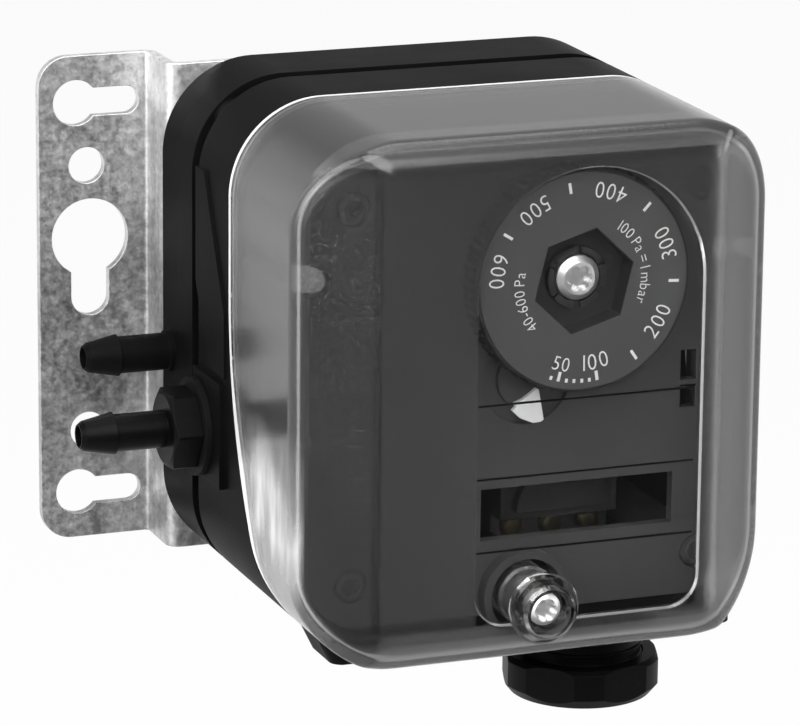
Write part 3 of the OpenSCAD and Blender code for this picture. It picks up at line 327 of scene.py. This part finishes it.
for part in frame["record"]["subparts"]:
    mesh = nodes[part["node"]].data
    mesh.materials.clear()
    mesh.materials.append(finishes[seen_apart.get(part["node"], part["material_slot"])])


def shown(name, mesh, finish, body, smooth=38.0):
    """Puts a finished mesh in the scene, smooth up to an angle, and lets it ride on a body."""
    mesh.polygons.foreach_set("use_smooth", [True] * len(mesh.polygons))
    mesh.set_sharp_from_angle(angle=math.radians(smooth))
    mesh.materials.clear()
    mesh.materials.append(finishes[finish])
    piece = bpy.data.objects.new(name, mesh)
    bpy.context.scene.collection.objects.link(piece)
    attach(piece, body)
    return piece


def grid_mesh(name, points, loop_u=True, flip=False, caps=(False, False)):
    """Mesh of a rows x columns x 3 grid of points in millimetres; columns may close into a loop, ends may be capped."""
    rows, cols = points.shape[:2]
    i, j = np.meshgrid(np.arange(rows - 1), np.arange(cols if loop_u else cols - 1), indexing="ij")
    k = (j + 1) % cols
    quads = np.stack([i * cols + j, i * cols + k, (i + 1) * cols + k, (i + 1) * cols + j], axis=-1).reshape(-1, 4)
    if flip:
        quads = quads[:, ::-1]
    faces = quads.tolist()
    for end, row in zip(caps, (0, rows - 1)):
        if end:
            ring = [row * cols + c for c in range(cols)]
            outward = (row == 0) != flip
            faces.append(ring[::-1] if outward else ring)
    mesh = bpy.data.meshes.new(name)
    mesh.from_pydata((points.reshape(-1, 3) * MM).tolist(), [], faces)
    mesh.validate()
    return mesh


def joined(name, meshes, weld=0.000004):
    """One mesh of several, with vertices closer than the weld distance merged."""
    import bmesh
    bm = bmesh.new()
    for mesh in meshes:
        bm.from_mesh(mesh)
    bmesh.ops.remove_doubles(bm, verts=bm.verts, dist=weld)
    bmesh.ops.recalc_face_normals(bm, faces=bm.faces)
    result = bpy.data.meshes.new(name)
    bm.to_mesh(result)
    bm.free()
    return result


def cut(mesh, operation, tools):
    """The mesh after the same solid operation with each closed tool mesh in turn."""
    work = bpy.data.objects.new("work", mesh)
    bpy.context.scene.collection.objects.link(work)
    helpers = []
    for tool in tools:
        helper = bpy.data.objects.new("tool", tool)
        bpy.context.scene.collection.objects.link(helper)
        step = work.modifiers.new("step", "BOOLEAN")
        step.operation, step.solver, step.object = operation, "MANIFOLD", helper
        helpers.append(helper)
    graph = bpy.context.evaluated_depsgraph_get()
    result = bpy.data.meshes.new_from_object(work.evaluated_get(graph))
    for helper in helpers + [work]:
        bpy.data.objects.remove(helper)
    return result


def prism(name, outline, near, far):
    """Straight prism: an X-Z outline in millimetres carried from depth near to depth far, depths running to -Y."""
    outline = np.asarray(outline, float)
    rows = [np.column_stack([outline[:, 0], np.full(len(outline), -d), outline[:, 1]]) for d in (near, far)]
    return joined(name, [grid_mesh(name, np.stack(rows), caps=(True, True))])


def flared(name, inner, outer, near, far):
    """Plug whose outline runs evenly from one to another over a depth and then straight on by a millimetre."""
    levels = [(inner, near), (outer, far), (outer, far + 1.0)]
    rows = [np.column_stack([line[:, 0], np.full(len(line), -d), line[:, 1]]) for line, d in levels]
    return joined(name, [grid_mesh(name, np.stack(rows), caps=(True, True))])


def turned(name, profile, x, z, columns=96):
    """Solid of revolution about a line along Y through (x, z): profile rows are (radius, depth), closed at both ends."""
    profile = np.asarray(profile, float)
    a = np.linspace(0.0, 2.0 * math.pi, columns, endpoint=False)
    radius, depth = profile[:, :1], profile[:, 1:]
    points = np.stack([x + radius * np.cos(a), -depth + 0.0 * a, z + radius * np.sin(a)], axis=-1)
    return joined(name, [grid_mesh(name, points, caps=(True, True))])


def soft_max(a, b, k):
    """Larger of two fields, rounded off over a width k: max(a, b) + h^2 / 4k with h = k - |a - b| where positive."""
    h = np.maximum(k - np.abs(a - b), 0.0)
    return np.maximum(a, b) + h * h / (4.0 * k)


def hood_field(x, p, z):
    """Distance outside the hood: rounded-rectangle outline, two slanted cheeks, a brow above and below, and the front."""
    middle, half_h = (TOP - LOW) / 2.0, (TOP + LOW) / 2.0
    qx, qz = np.abs(x) - HALF_W + CORNER, np.abs(z - middle) - half_h + CORNER
    outline = np.hypot(np.maximum(qx, 0.0), np.maximum(qz, 0.0)) + np.minimum(np.maximum(qx, qz), 0.0) - CORNER
    cheek_w, cheek_d, brow_h, brow_d = 11.4, 8.8, 3.6, 2.8
    n = math.hypot(cheek_w, cheek_d)
    cheek = (cheek_d * (np.abs(x) - HALF_W) + cheek_w * (p - FRONT + cheek_d)) / n
    n = math.hypot(brow_h, brow_d)
    brow = (brow_d * (np.abs(z - middle) - half_h) + brow_h * (p - FRONT + brow_d)) / n
    front = soft_max(p - FRONT, brow, 1.0)
    return soft_max(soft_max(front, cheek, 1.0), outline, 1.0)


def rim_depth(z, gap=0.3):
    """Depth of the hood's rim: level above the sweep's height, then forward along a circle."""
    drop = np.maximum(SWEEP_Z - z, 0.0)
    return RIM + SWEEP_R - np.sqrt((SWEEP_R - gap) ** 2 - drop ** 2)


def hood_skin(inset, columns=320):
    """Grid over the hood: each ray leaves a skeleton loop at 0.6 of the outline and stops where the field is -inset.
    The rows run up the straight wall, round the cheek through a quarter turn, and over the flat front to its middle."""
    middle = (TOP - LOW) / 2.0
    a = np.linspace(0.0, 2.0 * math.pi, columns, endpoint=False)
    ux, uz = np.cos(a), np.sin(a)
    ux, uz = np.sign(ux) * np.abs(ux) ** 0.8, np.sign(uz) * np.abs(uz) ** 0.8
    size = np.hypot(ux, uz)
    ux, uz = ux / size, uz / size

    def reach(origin, direction):
        near, far = np.zeros(origin.shape[:-1]), np.full(origin.shape[:-1], 90.0)
        for _ in range(46):
            half = 0.5 * (near + far)
            spot = origin + direction * half[..., None]
            out = hood_field(spot[..., 0], spot[..., 1], spot[..., 2]) > -inset
            far, near = np.where(out, half, far), np.where(out, near, half)
        return origin + direction * near[..., None]

    zero = np.zeros_like(ux)
    edge = reach(np.stack([zero, zero + 60.0, zero + middle], axis=-1), np.stack([ux, zero, uz], axis=-1))
    skeleton = np.stack([0.6 * edge[:, 0], zero + 71.0, middle + 0.6 * (edge[:, 2] - middle)], axis=-1)
    rim = rim_depth(edge[:, 2])
    share = np.concatenate([[0.0, 0.8 / 26.0], np.linspace(0.07, 1.0, 14)[:-1]])[:, None]
    wall = np.stack([edge[:, 0] + 0 * share, rim + share * (71.0 - rim), edge[:, 2] + 0 * share], axis=-1)
    turn = np.linspace(0.0, 0.5 * math.pi, 72)[:, None]
    ahead = np.stack([np.cos(turn) * ux, np.sin(turn) + 0 * ux, np.cos(turn) * uz], axis=-1)
    bend = reach(np.broadcast_to(skeleton, ahead.shape), ahead)
    inward = np.linspace(1.0, 0.02, 9)[1:, None]
    flat = np.stack([inward * bend[-1, :, 0], 0 * inward + bend[-1, :, 1],
                     middle + inward * (bend[-1, :, 2] - middle)], axis=-1)
    grid = np.concatenate([wall, bend, flat])
    return np.stack([grid[..., 0], -grid[..., 1], grid[..., 2]], axis=-1)


def window_line(inset=0.0, steps=64):
    """Arched window seen from the front: half circle above, straight sides and two rounded corners below."""
    r, low = 18.4 - inset, 5.0 - inset
    a = np.linspace(0.0, math.pi, steps)
    arch = np.column_stack([6.4 + r * np.cos(a), 17.0 + r * np.sin(a)])
    b = np.linspace(math.pi, 1.5 * math.pi, 16)
    left = np.column_stack([6.4 - r + low + low * np.cos(b), -35.2 + inset + low + low * np.sin(b)])
    right = np.column_stack([12.8 - left[::-1, 0], left[::-1, 1]])
    return np.concatenate([arch, left, right])


def hood_shell():
    """Outer and inner skin joined along the rim, with the window's recess, the sighting grooves and the screw's sleeve."""
    outer, inner = hood_skin(0.0), hood_skin(WALL)
    rim = np.stack([inner[0], outer[0]])
    shell = joined("hood_shell", [grid_mesh("outer", outer, caps=(False, True)), grid_mesh("inner", inner, caps=(False, True)),
                                  grid_mesh("rim", rim)])
    x, z = -0.8, -33.2
    rings = [(4.3 + out, at + step) for at in (66.0, 69.0, 72.0, 75.0)
             for out, step in ((0.0, -0.5), (0.45, -0.2), (0.45, 0.2), (0.0, 0.5))]
    sleeve = [(4.3, 62.8)] + rings + [(4.3, 80.6), (5.4, 80.6), (5.6, 80.8), (5.6, 83.0), (5.2, 83.4), (4.3, 83.4), (4.3, 85.0),
              (3.8, 85.5)]
    shell = cut(shell, "DIFFERENCE", [flared("recess", window_line(), window_line(-0.3), 82.0, 82.55)])
    shell = cut(shell, "UNION", [turned("sleeve", sleeve, x, z)])
    grooves = [prism("groove", [(-11.5, g - 0.15), (24.3, g - 0.15), (24.3, g + 0.15), (-11.5, g + 0.15)], 80.0, 80.75)
               for g in (-0.6, -12.2, -23.8)]
    bore = turned("bore", [(2.9, 60.0), (2.9, 79.8), (1.9, 79.8), (1.9, 81.8), (3.3, 81.8), (3.3, 90.0)], x, z)
    return cut(shell, "DIFFERENCE", grooves + [bore])


hood = shown("hood_shell", hood_shell(), "hood", "hood", 32.0)
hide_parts("hood")


def short_feet():
    """The feet drawn towards the rim: every depth behind their front faces is shortened to two thirds, and the
    lower edge of the outer side leans in."""
    mesh = nodes["housing_feet"].data.copy()
    spots = np.empty(len(mesh.vertices) * 3)
    mesh.vertices.foreach_get("co", spots)
    spots = spots.reshape(-1, 3)
    front = spots[:, 1].min()
    spots[:, 1] = front + 0.66 * (spots[:, 1] - front)
    slanted = (spots[:, 2] < spots[:, 2].min() + 1.2 * MM) & (spots[:, 0] < spots[:, 0].min() + 4.0 * MM)
    spots[slanted, 0] += 2.4 * MM
    mesh.vertices.foreach_set("co", spots.ravel())
    return joined("short_feet", [mesh])


feet = shown("short_feet", short_feet(), "housing", "housing", 30.0)
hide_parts("housing_feet")


def wound_spring(coils=7, wire=0.5, radius=3.4, sides=12, per_turn=40, swing_room=0.5):
    """Round wire carried along a helix about the dial's axis between the lever and the running nut; the depth rises
    with the turn and eases off over the first and last coil. The wire's section is a circle in the radial plane. The back end leaves
    the lever room to swing."""
    low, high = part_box("range_spring")
    back, ahead = -high[1] / MM + wire + swing_room, -low[1] / MM - wire
    u = np.linspace(0.0, 1.0, int(coils * per_turn) + 1)
    lead = 1.0 / coils
    share = np.where(u < lead, 0.35 * u * u / lead,
                     np.where(u > 1.0 - lead, 1.0 - 0.35 * (1.0 - u) ** 2 / lead,
                              0.35 * lead + (u - lead) * (1.0 - 0.7 * lead) / (1.0 - 2.0 * lead)))[:, None]
    a = 2.0 * math.pi * coils * u[:, None]
    b = np.linspace(0.0, 2.0 * math.pi, sides, endpoint=False)[None, :]
    out = radius + wire * np.cos(b)
    depth = back + (ahead - back) * share + wire * np.sin(b)
    points = np.stack([6.4 + out * np.cos(a), -depth, 17.0 + out * np.sin(a)], axis=-1)
    return joined("wound_spring", [grid_mesh("wound_spring", points, caps=(True, True))])


spring = shown("wound_spring", wound_spring(), "steel", "housing", 60.0)
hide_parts("range_spring")
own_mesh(spring)


def print_on_dial(name, text, size, radius, angle, tops_in):
    """Flat characters on a circle round the dial: each one turned about the dial's axis to its own angle."""
    depth = 78.4
    widths, glyphs = [], []
    for letter in text:
        curve = bpy.data.curves.new(name, "FONT")
        curve.body = letter if letter != " " else "i"
        curve.size = size * MM
        curve.extrude = 0.03 * MM
        curve.resolution_u = 3
        curve.offset = -0.009 * size * MM
        made = bpy.data.objects.new(name, curve)
        bpy.context.scene.collection.objects.link(made)
        graph = bpy.context.evaluated_depsgraph_get()
        mesh = bpy.data.meshes.new_from_object(made.evaluated_get(graph))
        bpy.data.objects.remove(made)
        where = np.empty(len(mesh.vertices) * 3)
        mesh.vertices.foreach_get("co", where)
        where = where.reshape(-1, 3) / MM
        middle, wide = 0.5 * (where[:, 0].min() + where[:, 0].max()), 0.9 * np.ptp(where[:, 0])
        where[:, 0] = 0.9 * (where[:, 0] - middle)
        widths.append(wide + 0.13 * size)
        glyphs.append((letter, mesh, where))
    along = np.cumsum(widths) - 0.5 * np.array(widths)
    along -= 0.5 * sum(widths)
    tall = 0.36 * size
    meshes = []
    for (letter, mesh, where), step in zip(glyphs, along):
        if letter == " ":
            continue
        bend = step / radius
        a = math.radians(angle) + (bend if tops_in else -bend)
        turn = a + (0.5 * math.pi if tops_in else -0.5 * math.pi)
        x, y = where[:, 0], where[:, 1] - tall
        px = 6.4 + radius * math.cos(a) + x * math.cos(turn) - y * math.sin(turn)
        pz = 17.0 + radius * math.sin(a) + x * math.sin(turn) + y * math.cos(turn)
        place = np.column_stack([px, -depth - 0.01 - where[:, 2], pz]) * MM
        mesh.vertices.foreach_set("co", place.ravel())
        meshes.append(mesh)
    return joined(name, meshes, 0.0000001)


def dial_ticks():
    """Short radial bars: length and width by kind, at the angles read from the scale."""
    bars = [(a, 14.0, 15.7, 0.46) for a in (147.8, 100.0, 47.1, -4.0, -55.4)]
    bars += [(a, 14.4, 15.9, 0.5) for a in (-104.8, -81.2)]
    bars += [(a, 15.3, 15.9, 0.45) for a in (-109.5, -99.8, -95.2, -90.4, -85.8)]
    meshes = []
    for angle, near, far, wide in bars:
        c, s = math.cos(math.radians(angle)), math.sin(math.radians(angle))
        corners = [(near, -wide / 2), (far, -wide / 2), (far, wide / 2), (near, wide / 2)]
        meshes.append(prism("tick", [(6.4 + u * c - v * s, 17.0 + u * s + v * c) for u, v in corners], 78.38, 78.44))
    return joined("dial_ticks", meshes, 0.0000001)


finishes["print"] = moulded("dial_print", 0.94, 0.97, 0.5, 0.6)
scale = [("100", 3.7, 12.8, -80.6), ("50", 3.2, 13.1, -105.6), ("200", 3.7, 14.2, -30.3), ("300", 3.7, 14.2, 20.5),
         ("400", 3.7, 14.2, 73.1), ("500", 3.7, 14.2, 125.3), ("600", 3.7, 14.3, 169.6)]
for text, size, radius, angle in scale:
    shown("scale_" + text, print_on_dial("scale_" + text, text, size, radius, angle, True), "print", "dial", 30.0)
shown("unit_left", print_on_dial("unit_left", "40-600 Pa", 2.5, 10.7, 194.5, False), "print", "dial", 30.0)
shown("unit_right", print_on_dial("unit_right", "100 Pa = 1 mbar", 2.5, 10.2, 16.0, False), "print", "dial", 30.0)
shown("dial_ticks", dial_ticks(), "print", "dial", 30.0)


def sighting_line(z):
    """Fine dark line that fills one groove in the back of the pane."""
    line = prism("sighting_line", [(-11.4, z - 0.14), (24.2, z - 0.14), (24.2, z + 0.14), (-11.4, z + 0.14)], 80.35, 80.74)
    return shown("sighting_line", line, "fitting", "hood", 30.0)


for line_z in (-0.6, -12.2, -23.8):
    sighting_line(line_z)


def studio_lamp(name, place, aim, size, power):
    """Soft rectangular lamp at a place, turned to an aim."""
    data = bpy.data.lights.new(name, "AREA")
    data.shape = "RECTANGLE"
    data.size, data.size_y = size
    data.energy = power
    lamp = bpy.data.objects.new(name, data)
    lamp.location = place
    lamp.rotation_euler = (Vector(aim) - Vector(place)).to_track_quat("-Z", "Y").to_euler()
    bpy.context.scene.collection.objects.link(lamp)


studio_lamp("left_box", (-1.1, -0.25, 0.35), (0.0, -0.04, 0.0), (0.6, 0.9), 7.5)
studio_lamp("front_box", (-0.35, -1.1, 0.95), (0.0, -0.05, 0.0), (1.8, 1.3), 40.0)
studio_lamp("right_box", (1.2, -0.45, 0.3), (0.0, -0.04, 0.0), (0.4, 0.9), 5.0)
studio_lamp("top_box", (0.1, -0.05, 1.1), (0.0, -0.04, 0.0), (0.9, 0.7), 6.0)


def backdrop_mix(tree, lit, share, dim_front=False):
    """Shows white to camera, mirror and glass rays for a share, and the lit shader for the rest.
    With dim_front the mirror and glass rays that leave for the open front of the studio keep to the lit level."""
    path = tree.nodes.new("ShaderNodeLightPath")
    seen, mirror, glass = (path.outputs[k] for k in ("Is Camera Ray", "Is Glossy Ray", "Is Transmission Ray"))
    if dim_front:
        place = tree.nodes.new("ShaderNodeTexCoord")
        split = tree.nodes.new("ShaderNodeSeparateXYZ")
        tree.links.new(place.outputs["Generated"], split.inputs[0])
        rays = []
        for ray, axis, low, high, least, most in ((mirror, "Y", -0.1, 0.5, 0.0, 1.0), (glass, "Y", -0.88, -0.72, 0.0, 1.0),
                                                  (mirror, "Z", 0.0, 0.3, 1.0, 0.5)):
            back = tree.nodes.new("ShaderNodeMapRange")
            for key, number in zip(("From Min", "From Max", "To Min", "To Max"), (low, high, least, most)):
                back.inputs[key].default_value = number
            tree.links.new(split.outputs[axis], back.inputs["Value"])
            kept = tree.nodes.new("ShaderNodeMath")
            kept.operation = "MULTIPLY"
            tree.links.new(rays[0] if axis == "Z" else ray, kept.inputs[0])
            tree.links.new(back.outputs["Result"], kept.inputs[1])
            rays.append(kept.outputs["Value"])
        glass, mirror = rays[1:]
    for other in (mirror, glass):
        more = tree.nodes.new("ShaderNodeMath")
        more.operation = "MAXIMUM"
        tree.links.new(seen, more.inputs[0])
        tree.links.new(other, more.inputs[1])
        seen = more.outputs["Value"]
    part = tree.nodes.new("ShaderNodeMath")
    part.operation = "MULTIPLY"
    part.inputs[1].default_value = share
    tree.links.new(seen, part.inputs[0])
    white = tree.nodes.new("ShaderNodeEmission")
    white.inputs["Color"].default_value = grey(1.0)
    mix = tree.nodes.new("ShaderNodeMixShader")
    tree.links.new(part.outputs["Value"], mix.inputs["Fac"])
    tree.links.new(lit, mix.inputs[1])
    tree.links.new(white.outputs[0], mix.inputs[2])
    return mix.outputs[0]


def white_backdrop(strength):
    """World that lights at a plain level and shows white to the camera, glass and metal."""
    world = bpy.data.worlds.new("studio")
    bpy.context.scene.world = world
    world.use_nodes = True
    tree = world.node_tree
    tree.nodes.clear()
    plain = tree.nodes.new("ShaderNodeBackground")
    plain.inputs["Strength"].default_value = strength
    plain.inputs["Color"].default_value = grey(1.0)
    out = tree.nodes.new("ShaderNodeOutputWorld")
    tree.links.new(backdrop_mix(tree, plain.outputs[0], 1.0, dim_front=True), out.inputs["Surface"])


white_backdrop(0.06)
bpy.context.scene.view_settings.view_transform = "Standard"


def pale_floor(height):
    """Level sheet far below the held switch; it ends a little in front of it, where the studio is open and dim."""
    size, near = 3.0, -0.4
    corners = [(-size, near, height), (size, near, height), (size, size, height), (-size, size, height)]
    mesh = bpy.data.meshes.new("floor")
    mesh.from_pydata(corners, [], [(0, 1, 2, 3)])
    floor = bpy.data.objects.new("floor", mesh)
    bpy.context.scene.collection.objects.link(floor)
    f = Finish("pale_floor", Base_Color=grey(0.92), Roughness=0.9)
    out = f.tree.nodes["Material Output"]
    f.tree.links.new(backdrop_mix(f.tree, f.shader.outputs["BSDF"], 0.94), out.inputs["Surface"])
    mesh.materials.append(f.material)


pale_floor(-0.25)
